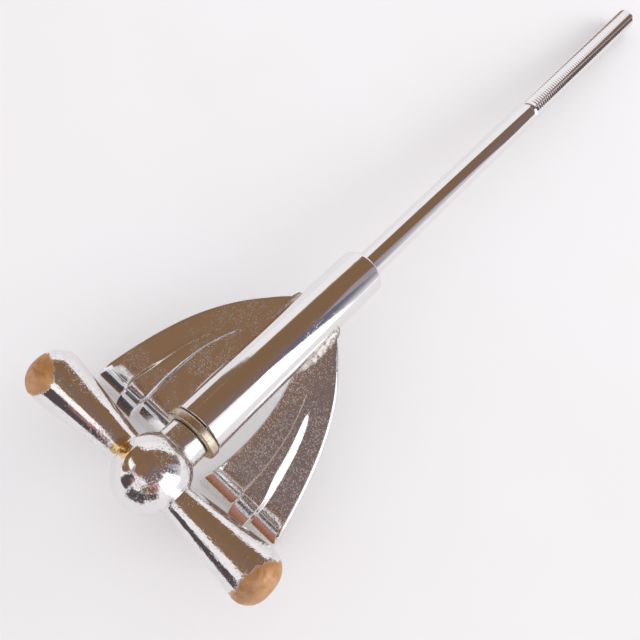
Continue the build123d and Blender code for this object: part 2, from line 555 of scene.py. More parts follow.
@dataclass
class Lathe:
    """Turns profiles, drawn above a level axis, round it into closed, smooth meshes.

    Attributes:
        axis: Direction of the axis.
        centre: The point on it that profiles are measured from.
        steps: Faces round the axis.
        arc_steps: Faces round a rounded corner.
    """

    axis: Vector
    centre: Vector
    steps: int
    arc_steps: int = 7

    @classmethod
    def along_rod(cls, steps: int, arc_steps: int = 7) -> Lathe:
        """Lathe about the rod's axis, measured from x = 0."""
        return cls(Vector((1, 0, 0)), rod_axis(), steps, arc_steps)

    def place(self, along: float, radius: float) -> Vector:
        """Point on the profile's plane."""
        return self.centre + self.axis * along + UP * radius

    def round_corner(self, mesh: BMesh, point: BMVert, cut: float) -> None:
        """Round one corner of a drawn profile.

        Args:
            mesh: The mesh that the profile is in.
            point: The corner.
            cut: Length taken off each side.
        """
        shape = {"offset_type": "OFFSET", "segments": self.arc_steps, "profile": 0.5, "material": -1}
        bmesh.ops.bevel(mesh, geom=[point], offset=cut, affect="VERTICES", **shape)

    def spin(self, mesh: BMesh) -> None:
        """Turn everything in a mesh round the axis and close the poles.

        Args:
            mesh: The mesh with the drawn profile.
        """
        circle = {"cent": self.centre, "axis": self.axis, "angle": math.tau, "steps": self.steps}
        bmesh.ops.spin(mesh, geom=mesh.verts[:] + mesh.edges[:], use_merge=True, **circle)
        bmesh.ops.remove_doubles(mesh, verts=mesh.verts[:], dist=SAME_PLACE)
        bmesh.ops.dissolve_degenerate(mesh, edges=mesh.edges[:], dist=SAME_PLACE / 10)
        bmesh.ops.recalc_face_normals(mesh, faces=mesh.faces[:])

    def turn(self, corners: Sequence[Corner], closed: bool = False) -> BMesh:
        """Draw a profile as a chain of edges, round its corners and turn it.

        Args:
            corners: Corners of the profile, in order.
            closed: Whether the last corner joins the first, as in a ring.

        Returns:
            The turned mesh.
        """
        mesh = bmesh.new()
        points = [mesh.verts.new(self.place(corner.along, corner.radius)) for corner in corners]
        for first, second in zip(points, points[1:] + points[:1] if closed else points[1:]):
            mesh.edges.new((first, second))
        for point, corner in zip(points, corners):
            if corner.cut > 0:
                self.round_corner(mesh, point, corner.cut)
        self.spin(mesh)
        return mesh

    def ring(self, ends: Sequence[float], bore: float, radius: float, cuts: Sequence[float]) -> BMesh:
        """Turn a ring with a square section and rounded rims.

        Args:
            ends: Where it starts and ends along the axis.
            bore: Radius of its hole.
            radius: Its outer radius.
            cuts: Roundings of the near inner, near outer, far outer and far inner rim.

        Returns:
            The turned mesh.
        """
        start, end = ends
        section = ((start, bore), (start, radius), (end, radius), (end, bore))
        return self.turn([Corner(*place, cut) for place, cut in zip(section, cuts)], closed=True)


def link(name: str, data: bpy.types.ID) -> Object:
    """Put a new object with some data into the scene.

    Args:
        name: The object's name.
        data: Its mesh, camera or light.

    Returns:
        The object.
    """
    made = bpy.data.objects.new(name, data)
    bpy.context.scene.collection.objects.link(made)
    return made


def as_object(name: str, mesh: BMesh, material: Material, sharp_angle: float = 35.0) -> Object:
    """Make an object of a finished mesh.

    Args:
        name: The object's name.
        mesh: The mesh, which is freed.
        material: Its one material.
        sharp_angle: Angle between faces past which their edge stays sharp.

    Returns:
        The object, in the scene.
    """
    data = bpy.data.meshes.new(name)
    mesh.to_mesh(data)
    mesh.free()
    data.shade_smooth()
    data.set_sharp_from_angle(angle=math.radians(sharp_angle))
    data.materials.append(material)
    return link(name, data)


def settle(piece: Object, node: str, body: Body) -> None:
    """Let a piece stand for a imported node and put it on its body.

    Args:
        piece: The piece.
        node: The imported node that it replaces.
        body: The body that it rides on.
    """
    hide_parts(node)
    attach(piece, body.value)
    LOG.info("%s: %d faces, for %s on %s", piece.name, len(piece.data.polygons), node, body.value)


@dataclass(frozen=True)
class Span:
    """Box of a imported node, read in the ways that round parts need."""

    low: Vector
    high: Vector

    @classmethod
    def of(cls, node: str) -> Span:
        """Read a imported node's box."""
        low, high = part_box(node)
        return cls(Vector(low), Vector(high))

    @property
    def centre(self) -> Vector:
        """Middle of the box."""
        return (self.low + self.high) / 2

    @property
    def size(self) -> Vector:
        """Size of the box."""
        return self.high - self.low


def rod_axis() -> Vector:
    """Point on the rod's axis at x = 0."""
    centre = Span.of("tension_rod").centre
    return Vector((0, centre.y, centre.z))


def rod_radius() -> float:
    """Radius of the rod's plain shank."""
    return Span.of("tension_rod").size.y / 2


def ball_centre() -> Vector:
    """Middle of the handle's ball, which is as high as the handle."""
    span = Span.of("t_handle")
    return Vector((span.low.x + span.size.z / 2, span.centre.y, span.centre.z))


def smooth_step(value: float) -> float:
    """Smooth rise from 0 to 1, flat past both ends."""
    clamped = min(max(value, 0.0), 1.0)
    return clamped * clamped * (3 - 2 * clamped)


# ---- The tension rod and what is fixed to it ----


@dataclass
class THandle:
    """Cast ball with two arms that swell to blunt, rounded ends.

    Attributes:
        end_setback: Distance from an arm's end to where its swelling is full.
        plate_gap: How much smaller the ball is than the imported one.
    """

    arm_end_radius: float = 5.1 * MM
    arm_neck_radius: float = 3.05 * MM
    end_setback: float = 4.4 * MM
    end_cut: float = 4.1 * MM
    shoulder_cut: float = 0.5 * MM
    root_cut: float = 0.2 * MM
    plate_gap: float = 0.01 * MM
    ball_steps: int = 56

    def build(self) -> None:
        """Turn the handle about the line of its arms and dress it."""
        span = Span.of("t_handle")
        centre, half = ball_centre(), span.size.y / 2
        lathe = Lathe(Vector((0, 1, 0)), centre, steps=160, arc_steps=10)
        mesh = bmesh.new()
        self.draw_profile(mesh, lathe, span.size.z / 2 - self.plate_gap, half)
        lathe.spin(mesh)
        handle = as_object("handle", mesh, self.finish(centre, half), 60.0)
        settle(handle, "t_handle", Body.T_ROD)

    def draw_profile(self, mesh: BMesh, lathe: Lathe, ball: float, half: float) -> None:
        """Draw the ball's arc and both arms as one chain.

        Args:
            mesh: The mesh that it is drawn in.
            lathe: The lathe, whose axis is the line of the arms.
            ball: Radius of the ball.
            half: Half the width over both arms.
        """
        shoulder = half - self.end_setback
        slope = (self.arm_end_radius - self.arm_neck_radius) / (shoulder - ball)
        root = self.arm_neck_radius - slope * ball
        meeting = (math.sqrt(ball**2 * (1 + slope**2) - root**2) - root * slope) / (1 + slope**2)
        lean = math.asin(meeting / ball)
        start = mesh.verts.new(lathe.place(-meeting, ball * math.cos(lean)))
        arc = {"axis": UP.cross(lathe.axis), "angle": 2 * lean, "steps": self.ball_steps}
        bmesh.ops.spin(mesh, geom=[start], cent=lathe.centre, **arc)
        for tip in [vert for vert in mesh.verts if len(vert.link_edges) == 1]:
            side = 1 if (tip.co - lathe.centre).dot(lathe.axis) > 0 else -1
            thick = mesh.verts.new(lathe.place(side * shoulder, self.arm_end_radius))
            rim = mesh.verts.new(lathe.place(side * half, self.arm_end_radius))
            pole = mesh.verts.new(lathe.place(side * half, 0))
            for first, second in ((tip, thick), (thick, rim), (rim, pole)):
                mesh.edges.new((first, second))
            lathe.round_corner(mesh, rim, self.end_cut)
            lathe.round_corner(mesh, thick, self.shoulder_cut)
            lathe.round_corner(mesh, tip, self.root_cut)

    def finish(self, centre: Vector, half: float) -> Material:
        """Chrome over brass, worn through at both ends and at one root.

        Args:
            centre: Centre of the ball.
            half: Half the width over both arms.

        Returns:
            The material.
        """
        chrome = WornChrome(
            "handle plate", pit_cover=0.48, pit_grain=0.6 * MM, gloss=0.06, peel=0.05 * MM, wave=0.03 * MM
        )
        left_end, right_end = centre + Vector((0, half, 0)), centre - Vector((0, half, 0))
        patches = (
            Patch(left_end + Vector((-2.4, -1.6, 3.2)) * MM, Vector((3.8, 4.7, 4.4)) * MM),
            Patch(right_end + Vector((-1.4, 0.0, 1.0)) * MM, Vector((6.0, 6.0, 8.0)) * MM),
        )
        stains = (
            Patch(centre + Vector((-1.3, 6.9, 3.0)) * MM, Vector((2.0, 0.9, 1.6)) * MM),
            Patch(centre + Vector((-1.2, 4.9, 4.6)) * MM, Vector((1.2, 1.8, 1.3)) * MM),
        )
        return ChromeOverBrass("chrome over brass", chrome, patches, stains).dress()


@dataclass
class NeckCollar:
    """Round shoulder between the ball and the washer."""

    rim_cut: float = 0.22 * MM

    def build(self) -> None:
        """Turn the collar and dress it."""
        span = Span.of("neck_collar")
        cuts = (0, self.rim_cut, self.rim_cut, 0)
        mesh = Lathe.along_rod(160).ring((span.low.x, span.high.x), rod_radius(), span.size.y / 2, cuts)
        finish = WornChrome("collar chrome", pit_cover=0.38, pit_grain=0.5 * MM, gloss=0.08, peel=0.006 * MM)
        collar = as_object("collar", mesh, finish.dress())
        settle(collar, "neck_collar", Body.T_ROD)


@dataclass
class TensionRod:
    """Tenon in the ball, plain shank, short neck, and a cut thread with a chamfered tip.

    Attributes:
        mount: The record's mount of the threaded end.
        thread_depth: Height of the thread's crests over its core.
        ridge_sink: How deep the ridge's foot lies in the core.
        neck_end: Distance from the neck's end to the thread's start.
        core_lead: Distance past the thread's start at which the core has its own radius.
        runout: Rise of the ridge out of the core at the neck, for each length along the rod.
        least_ridge: Smallest radius that the ridge is cut down to, in shares of the crests' radius.
    """

    mount: dict
    pitch: float = 1.0 * MM
    thread_depth: float = 0.60 * MM
    crest_flat: float = 0.16 * MM
    root_flat: float = 0.12 * MM
    ridge_sink: float = 0.3 * MM
    steps_per_turn: int = 48
    tenon_radius: float = 2.4 * MM
    tenon_cut: float = 0.3 * MM
    neck_radius: float = 2.6 * MM
    neck_run: float = 0.9 * MM
    neck_fall: float = 0.35 * MM
    neck_cut: float = 0.1 * MM
    neck_end: float = 0.1 * MM
    shank_cut: float = 0.12 * MM
    core_lead: float = 0.3 * MM
    tip_slope: float = 0.12 * MM
    tip_chamfer: float = 0.7 * MM
    tip_gap: float = 0.02 * MM
    runout: float = 0.55
    least_ridge: float = 0.5

    def __post_init__(self) -> None:
        """Read where the thread lies and how thick it is."""
        dims = self.mount["dims"]
        self.crest = dims["r_mm"] * MM
        self.core = self.crest - self.thread_depth
        self.start = self.mount["pos_m"][0] - dims["length_mm"] * MM / 2
        self.tip = Span.of("tension_rod").high.x

    def build(self) -> None:
        """Turn the rod, cut its thread and dress it."""
        lathe = Lathe.along_rod(144, arc_steps=4)
        mesh = lathe.turn(self.body_profile())
        self.cut_thread(mesh, lathe)
        finish = WornChrome("rod chrome", pit_cover=0.30, gloss=0.05, peel=0.003 * MM, wave=0.006 * MM)
        rod = as_object("rod", mesh, finish.dress(), 30.0)
        settle(rod, "tension_rod", Body.T_ROD)

    def body_profile(self) -> tuple[Corner, ...]:
        """Profile of the rod without its thread's ridge.

        Returns:
            The corners.
        """
        shank = rod_radius()
        inner_end = Span.of("tension_rod").low.x
        seat = Span.of("neck_collar").low.x
        neck = self.start - self.neck_run
        return (
            Corner(inner_end, 0),
            Corner(inner_end, self.tenon_radius, self.tenon_cut),
            Corner(seat, self.tenon_radius),
            Corner(seat, shank),
            Corner(neck, shank, self.shank_cut),
            Corner(neck + self.neck_fall, self.neck_radius, self.neck_cut),
            Corner(self.start - self.neck_end, self.neck_radius),
            Corner(self.start + self.core_lead, self.core),
            Corner(self.tip - self.tip_slope, self.core),
            Corner(self.tip, self.crest - self.tip_chamfer),
            Corner(self.tip, 0),
        )

    def cut_thread(self, mesh: BMesh, lathe: Lathe) -> None:
        """Wind the thread's ridge round the core as one closed helix.

        Args:
            mesh: The mesh that gets the ridge.
            lathe: The rod's lathe.
        """
        foot, top, sunk = (self.pitch - self.root_flat) / 2, self.crest_flat / 2, self.core - self.ridge_sink
        half = ((foot, sunk), (foot, self.core), (top, self.crest))
        section = (*((-along, radius) for along, radius in half), *reversed(half))
        first = self.start + self.pitch / 2
        ridge = bmesh.new()
        points = [ridge.verts.new(lathe.place(first + along, radius)) for along, radius in section]
        sides = [ridge.edges.new(pair) for pair in zip(points, points[1:] + points[:1])]
        circle = {"cent": lathe.centre, "axis": lathe.axis, "angle": math.tau, "steps": self.steps_per_turn}
        climb = lathe.axis * (self.pitch / self.steps_per_turn)
        bmesh.ops.spin(ridge, geom=[*points, *sides], dvec=climb, use_duplicate=False, **circle)
        self.repeat_turn(ridge, lathe)
        self.thin_ends(ridge.verts, lathe)
        bmesh.ops.recalc_face_normals(ridge, faces=ridge.faces[:])
        data = bpy.data.meshes.new("ridge")
        ridge.to_mesh(data)
        ridge.free()
        mesh.from_mesh(data)
        bpy.data.meshes.remove(data)

    def repeat_turn(self, ridge: BMesh, lathe: Lathe) -> None:
        """Follow the first turn of the ridge with the others, join them and close both ends.

        Args:
            ridge: The mesh with the first turn.
            lathe: The rod's lathe.
        """
        first_turn = ridge.verts[:] + ridge.edges[:] + ridge.faces[:]
        for turn in range(1, math.ceil((self.tip - self.start) / self.pitch)):
            made = bmesh.ops.duplicate(ridge, geom=first_turn)["geom"]
            bmesh.ops.translate(ridge, vec=lathe.axis * (self.pitch * turn), verts=only_verts(made))
        bmesh.ops.remove_doubles(ridge, verts=ridge.verts[:], dist=SAME_PLACE)
        open_edges = [edge for edge in ridge.edges if edge.is_boundary]
        bmesh.ops.holes_fill(ridge, edges=open_edges, sides=6)

    def thin_ends(self, ridge: Iterable[BMVert], lathe: Lathe) -> None:
        """Let the ridge run out at the neck and follow the chamfer at the tip.

        Args:
            ridge: Vertices of the ridge.
            lathe: The rod's lathe.
        """
        for vert in ridge:
            along = (vert.co - lathe.centre).dot(lathe.axis)
            spoke = vert.co - (lathe.centre + lathe.axis * along)
            from_neck = self.core + (along - self.start) * self.runout
            from_tip = self.crest - self.tip_chamfer + (self.tip - along)
            limit = max(min(from_neck, from_tip), self.least_ridge * self.crest)
            if spoke.length > limit:
                spoke = spoke.normalized() * limit
            kept = min(along, self.tip - self.tip_gap)
            vert.co = lathe.centre + lathe.axis * kept + spoke


def only_verts(made: Sequence) -> list[BMVert]:
    """The vertices among some new pieces of a mesh."""
    return [item for item in made if isinstance(item, BMVert)]


# ---- The washer ----


@dataclass
class Washer:
    """Plain washer with worn rims that sits a little crooked on the rod.

    Attributes:
        rim_shrink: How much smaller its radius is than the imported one's, to leave room to lean.
        face_shrink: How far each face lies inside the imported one's, for the same reason.
    """

    rim_cut: float = 0.34 * MM
    bore_cut: float = 0.12 * MM
    clearance: float = 0.12 * MM
    rim_shrink: float = 0.03 * MM
    face_shrink: float = 0.06 * MM
    tilt: float = 1.3
    tilt_axis: Triple = (0, 1, 0.8)

    def build(self) -> None:
        """Turn the washer, tilt it and dress it."""
        span = Span.of("washer")
        ends = (span.low.x + self.face_shrink, span.high.x - self.face_shrink)
        cuts = (self.bore_cut, self.rim_cut, self.rim_cut, self.bore_cut)
        lathe = Lathe.along_rod(160, arc_steps=8)
        mesh = lathe.ring(ends, rod_radius() + self.clearance, span.size.y / 2 - self.rim_shrink, cuts)
        turn = Matrix.Rotation(math.radians(self.tilt), 4, Vector(self.tilt_axis).normalized())
        bmesh.ops.transform(mesh, matrix=turn, space=Matrix.Translation(-span.centre), verts=mesh.verts[:])
        washer = as_object("washer_ring", mesh, DullNickel("dull nickel").dress())
        settle(washer, "washer", Body.WASHER)


# ---- The claw ----


@dataclass
class ClawSleeve:
    """Straight tube that the rod slides through."""

    far_cut: float = 0.75 * MM
    near_cut: float = 0.35 * MM
    mouth_cut: float = 0.3 * MM
    clearance: float = 0.1 * MM

    def build(self) -> None:
        """Turn the sleeve and dress it."""
        span = Span.of("claw_sleeve")
        cuts = (self.mouth_cut, self.near_cut, self.far_cut, self.mouth_cut)
        lathe = Lathe.along_rod(224, arc_steps=9)
        bore = rod_radius() + self.clearance
        mesh = lathe.ring((span.low.x, span.high.x), bore, span.size.y / 2, cuts)
        finish = WornChrome(
            "sleeve chrome", pit_cover=0.30, pit_grain=0.42 * MM, gloss=0.07, peel=0.004 * MM, wave=0.014 * MM
        )
        sleeve = as_object("sleeve", mesh, finish.dress())
        settle(sleeve, "claw_sleeve", Body.CLAW)


class Side(Enum):
    """The two sides of the claw, by the sign of Y."""

    LEFT = 1
    RIGHT = -1


@dataclass
class ClawPart:
    """Piece on one side of the claw, on the plate that slopes up from the hook along the sleeve.

    Attributes:
        side: Its side.
        slope: Slope of the plate.
        drop: Depth of the plate's top under the rod's axis where the hook starts.
        setback: Distance from the sleeve's near end to where the hook starts.
    """

    side: Side
    slope: float = 23.2
    drop: float = 12.3 * MM
    setback: float = 0.5 * MM

    def __post_init__(self) -> None:
        """Find the rod's axis, where the hook starts, and the slope in radians."""
        self.axis = rod_axis()
        self.hook_x = Span.of("claw_sleeve").low.x + self.setback
        self.tilt = math.radians(self.slope)

    def add_back(self, mesh: BMesh) -> list[BMVert]:
        """Extrude a sheet and give the new vertices, which are its back's."""
        return only_verts(bmesh.ops.extrude_face_region(mesh, geom=mesh.faces[:], use_keep_orig=True)["geom"])


@dataclass
class ClawWing(ClawPart):
    """Wing of the claw: a sloping plate, its curled hook, and a raised rib over both.

    The wing is shaped flat, with u up the plate from the line where the hook starts, v out
    from the plane of symmetry and w above the plate's top. Then it is bent into place.

    Attributes:
        curl: Radius of the hook's bend, to the plate's top.
        lip: Length of the straight lip past the bend.
        half_width: Distance of the outer edge from the middle, where the hook starts.
        inner_gap: The same for the inner edge.
        flare: Direction of the outer edge at the hook.
        sweep: Direction of the outer edge at the far tip.
        web_start: Where the inner edge turns into the sleeve, along the rod.
        inner_bow: How far the inner edge bows out.
        hidden_radius: How deep the inner edge then lies, by its distance from the rod's axis.
        flank_fade: Share of the steep flank that is lost towards the rib's far end.
        flank_narrowing: The same for the gentle flank.
        rim_share: Share of the gentle flank's width that is left at the hook.
        rib_fall: Share of the rib's height that is lost towards its far end.
        rib_swell: Share by which the rib is higher over the hook.
        rib_nose: How far the rib goes past the bend, on the lip.
        rib_nose_round: How far the nose's sides stay behind its middle.
        columns: Faces across each strip between the wing's lines.
    """

    thickness: float = 1.9 * MM
    curl: float = 4.9 * MM
    lip: float = 5.8 * MM
    half_width: float = 24.0 * MM
    inner_gap: float = 6.4 * MM
    reach: float = 33.4 * MM
    flare: float = 12.5
    sweep: float = 56.0
    fullness: float = 0.42
    tip_gap: float = 3.2 * MM
    web_start: float = 20.5 * MM
    web_gap: float = 4.8 * MM
    web_run: float = 2.0 * MM
    inner_bow: float = 1.35 * MM
    hidden_radius: float = 4.3 * MM
    hidden_least: float = 1.6 * MM
    least_width: float = 0.12 * MM
    rib_centre: float = 15.5 * MM
    rib_width: float = 5.4 * MM
    rib_height: float = 1.25 * MM
    rib_reach: float = 21.6 * MM
    rib_far_centre: float = 9.7 * MM
    rib_far_width: float = 2.2 * MM
    rib_arc_end: float = 1.4
    rib_outer_flank: float = 2.45 * MM
    rib_inner_flank: float = 0.6 * MM
    flank_fade: float = 0.55
    flank_narrowing: float = 0.4
    flank_run: float = 8.0 * MM
    rim_share: float = 0.36
    rib_fall: float = 0.4
    rib_swell: float = 0.4
    rib_end: float = 0.6
    rib_nose: float = 1.7 * MM
    rib_nose_run: float = 0.9 * MM
    rib_nose_round: float = 2.4 * MM
    outer_rim: float = 1.15 * MM
    inner_rim: float = 0.3 * MM
    rim_limit: float = 0.2
    rim_depth: float = 0.8
    lip_corner: float = 1.3 * MM
    rows: int = 230
    columns: tuple[int, ...] = (3, 8, 6, 8, 14, 6, 6)

    def __post_init__(self) -> None:
        """Work out the lengths that the flat shape needs."""
        super().__post_init__()
        self.length = self.reach / math.cos(self.tilt)
        self.bend = math.radians(90.0 - self.slope)
        self.bend_length = self.curl * self.bend
        self.start_u = -(self.bend_length + self.lip)
        self.rib_far = self.rib_reach * self.length / self.reach
        self.outer_points = self.draw_outer_edge()

    def build(self) -> None:
        """Shape the wing flat, bend it and dress it."""
        mesh = bmesh.new()
        bmesh.ops.create_grid(mesh, x_segments=sum(self.columns), y_segments=self.rows, size=0.5)
        self.lay_out(mesh)
        under = self.add_back(mesh)
        bmesh.ops.scale(mesh, vec=(1, 1, 0), verts=under)
        bmesh.ops.translate(mesh, vec=(0, 0, -self.thickness), verts=under)
        self.bend_up(mesh)
        bmesh.ops.remove_doubles(mesh, verts=mesh.verts[:], dist=SAME_PLACE)
        bmesh.ops.recalc_face_normals(mesh, faces=mesh.faces[:])
        name = self.side.name.lower()
        wing = as_object(f"{name}_claw_wing", mesh, self.finish(f"{name} wing chrome"), 50.0)
        settle(wing, f"{name}_wing", Body.CLAW)

    def draw_outer_edge(self) -> list[Vector]:
        """Outer edge in the plate's plane, nearly straight at the hook and swept in at the tip.

        Returns:
            Points along the edge.
        """
        start = Vector((0.0, self.half_width))
        end = Vector((self.length, self.tip_gap))
        handle = self.length * self.fullness
        leave, arrive = (
            Vector((math.cos(angle), -math.sin(angle))) * handle
            for angle in (math.radians(self.flare), math.radians(self.sweep))
        )
        return interpolate_bezier(start, start + leave, end - arrive, end, 160)

    def on_hook(self, u: float) -> tuple[float, float]:
        """Angle turned round the bend at a place before the plate, and the way past the bend."""
        return min(-u / self.curl, self.bend), max(-u - self.bend_length, 0.0)

    def over_hook(self, u: float) -> float:
        """Share of the hook's bend that lies behind a place, from 0 to 1."""
        return smooth_step(-u / self.bend_length)

    def plan(self, u: float) -> float:
        """Distance up the plate that a place has when the wing is seen square to the plate.

        Args:
            u: Place along the wing.

        Returns:
            The distance.
        """
        if u >= 0:
            return u
        angle, rest = self.on_hook(u)
        return -self.curl * math.sin(angle) - rest * math.cos(self.bend)

    def outer(self, u: float) -> float:
        """Distance of the outer edge from the plane of symmetry.

        Args:
            u: Place along the wing.

        Returns:
            The distance.
        """
        along = self.plan(u)
        if along <= 0:
            return self.half_width - along * math.tan(math.radians(self.flare))
        for first, second in zip(self.outer_points, self.outer_points[1:]):
            if second.x >= along:
                share = (along - first.x) / max(second.x - first.x, TINY)
                return first.y + (second.y - first.y) * share
        return self.tip_gap

    def inner(self, u: float) -> float:
        """Distance of the inner edge from the plane of symmetry, hidden in the sleeve at its end.

        Args:
            u: Place along the wing.

        Returns:
            The distance.
        """
        along = self.plan(u)
        scale = self.length / self.reach
        far = self.web_start * scale
        chord = Vector((far, self.web_gap - self.inner_gap))
        radius = chord.length**2 / (8 * self.inner_bow) + self.inner_bow / 2
        normal = Vector((-chord.y, chord.x)).normalized()
        centre = Vector((0, self.inner_gap)) + chord / 2 - normal * (radius - self.inner_bow)
        on_arc = centre.y + math.sqrt(radius**2 - (along - centre.x) ** 2)
        height = along / scale * math.tan(self.tilt) - self.drop
        tucked = math.sqrt(max(self.hidden_radius**2 - height**2, self.hidden_least**2))
        blend = smooth_step((along - far) / self.web_run)
        return min(on_arc + (tucked - on_arc) * blend, self.outer(u) - self.least_width)

    def rim_lines(self, u: float) -> tuple[float, float]:
        """Where the rounding of the inner and of the outer rim stops.

        Args:
            u: Place along the wing.

        Returns:
            Their distances from the plane of symmetry.
        """
        low, high = self.inner(u), self.outer(u)
        most = self.rim_limit * (high - low)
        return low + min(self.inner_rim, most), high - min(self.outer_rim, most)

    def rib_lines(self, u: float) -> tuple[float, float, float, float]:
        """The rib's inner foot, inner shoulder, outer shoulder and outer foot.

        Args:
            u: Place along the wing.

        Returns:
            Their distances from the plane of symmetry.
        """
        along = max(self.plan(u), 0.0)
        share = min(along / self.rib_far, 1.0)
        side = self.rib_centre - self.rib_far_centre
        radius = (self.rib_far**2 + side**2) / (2 * side)
        on_arc = min(along, self.rib_arc_end * self.rib_far)
        centre = self.rib_centre - radius + math.sqrt(max(radius**2 - on_arc**2, 0.0))
        half = (self.rib_width + (self.rib_far_width - self.rib_width) * share) / 2
        steep = self.rib_inner_flank * (1.0 - self.flank_fade * share) * (1.0 + self.over_hook(u))
        broad = self.rim_share + (1.0 - self.rim_share) * smooth_step(along / self.flank_run)
        gentle = self.rib_outer_flank * (1.0 - self.flank_narrowing * share) * broad
        inner, outer = centre - half, centre + half
        low, high = self.rim_lines(u)
        return tuple(min(max(line, low), high) for line in (inner, inner + steep, outer - gentle, outer))

    def lay_out(self, mesh: BMesh) -> None:
        """Stretch the grid over the wing's flat outline, with columns on the rib's lines.

        Args:
            mesh: The grid, from -0.5 to 0.5 each way.
        """
        total = sum(self.columns)
        stops = [0.0]
        for count in self.columns:
            stops.append(stops[-1] + count / total)
        last = len(self.columns) - 1
        rows: dict[int, list[BMVert]] = {}
        for vert in mesh.verts:
            rows.setdefault(round((vert.co.y + 0.5) * self.rows), []).append(vert)
        for row, verts in rows.items():
            u = self.start_u + (self.length - self.start_u) * row / self.rows
            low, high = self.rim_lines(u)
            ribs = self.rib_lines(u)
            lines = (self.inner(u), low, *ribs, high, self.outer(u))
            for vert in verts:
                share = vert.co.x + 0.5
                part = next((i for i, stop in enumerate(stops[1:]) if share <= stop + 1e-6), last)
                inside = (share - stops[part]) / (stops[part + 1] - stops[part])
                v = lines[part] + (lines[part + 1] - lines[part]) * inside
                rise = self.rib_rise(u, v, ribs) - self.rim_drop(v, lines)
                vert.co = Vector((u, self.around_lip(u, v, lines), rise))

    def around_lip(self, u: float, v: float, lines: Sequence[float]) -> float:
        """Draw a place in, so that the corners at the lip's free edge are round.

        Args:
            u: Place along the wing.
            v: Distance from the plane of symmetry.
            lines: The wing's lines at u, with the edges first and last.

        Returns:
            The new distance.
        """
        from_end = u - self.start_u
        if from_end >= self.lip_corner:
            return v
        missing = self.lip_corner - math.sqrt(self.lip_corner**2 - (self.lip_corner - from_end) ** 2)
        low, high = lines[0], lines[-1]
        return low + missing + (high - low - 2 * missing) * (v - low) / (high - low)

    def rim_drop(self, v: float, lines: Sequence[float]) -> float:
        """How far the plate's top falls away at its rounded rims.

        Args:
            v: Distance from the plane of symmetry.
            lines: The wing's lines there, with the edges first and last.

        Returns:
            The drop.
        """
        drop = 0.0
        for edge, inner_line in ((lines[0], lines[1]), (lines[-1], lines[-2])):
            cut = abs(edge - inner_line)
            missing = max(cut - abs(v - edge), 0.0)
            drop += (cut - math.sqrt(max(cut**2 - missing**2, 0.0))) * self.rim_depth
        return drop

    def rib_rise(self, u: float, v: float, lines: Sequence[float]) -> float:
        """Height of the rib over the plate.

        Args:
            u: Place along the wing.
            v: Distance from the plane of symmetry.
            lines: The rib's four lines at u.

        Returns:
            The height.
        """
        inner, inner_top, outer_top, outer = lines
        if not inner < v < outer:
            return 0.0
        share = max(self.plan(u), 0.0) / self.rib_far
        height = self.rib_height * (1.0 - self.rib_fall * share) * (1.0 + self.rib_swell * self.over_hook(u))
        height *= 1.0 - smooth_step((share - self.rib_end) / (1.0 - self.rib_end))
        steep = math.sin(min((v - inner) / max(inner_top - inner, TINY), 1.0) * math.pi / 2)
        gentle = smooth_step((outer - v) / max(outer - outer_top, TINY))
        across = abs(v - (inner + outer) / 2) / ((outer - inner) / 2)
        behind = self.rib_nose_round * (1.0 - math.sqrt(max(1.0 - across**2, 0.0)))
        from_nose = (u + self.bend_length + self.rib_nose - behind) / self.rib_nose_run
        return height * steep * gentle * math.sin(min(max(from_nose, 0.0), 1.0) * math.pi / 2)

    def bend_up(self, mesh: BMesh) -> None:
        """Curl the hook, tilt the plate to its slope and set it against the sleeve.

        Args:
            mesh: The flat wing with its rib.
        """
        cos, sin = math.cos(self.tilt), math.sin(self.tilt)
        for vert in mesh.verts:
            u, v, w = vert.co
            along, up = u, w
            if u < 0:
                angle, rest = self.on_hook(u)
                along = -(self.curl + w) * math.sin(angle) - rest * math.cos(angle)
                up = -self.curl + (self.curl + w) * math.cos(angle) - rest * math.sin(angle)
            x = self.hook_x + along * cos - up * sin
            z = self.axis.z - self.drop + along * sin + up * cos
            vert.co = Vector((x, self.axis.y + self.side.value * v, z))

    def finish(self, name: str) -> Material:
        """Chrome, smoother on the left wing and heavily pitted on the right one.

        Args:
            name: The material's name.

        Returns:
            The material.
        """
        pitting = {"pit_cover": 0.46, "peel": 0.008 * MM}
        if self.side is Side.RIGHT:
            pitting = {"pit_cover": 0.62, "pit_reach": 0.34, "peel": 0.010 * MM}
        return WornChrome(name, pit_grain=0.5 * MM, gloss=0.08, **pitting).dress()


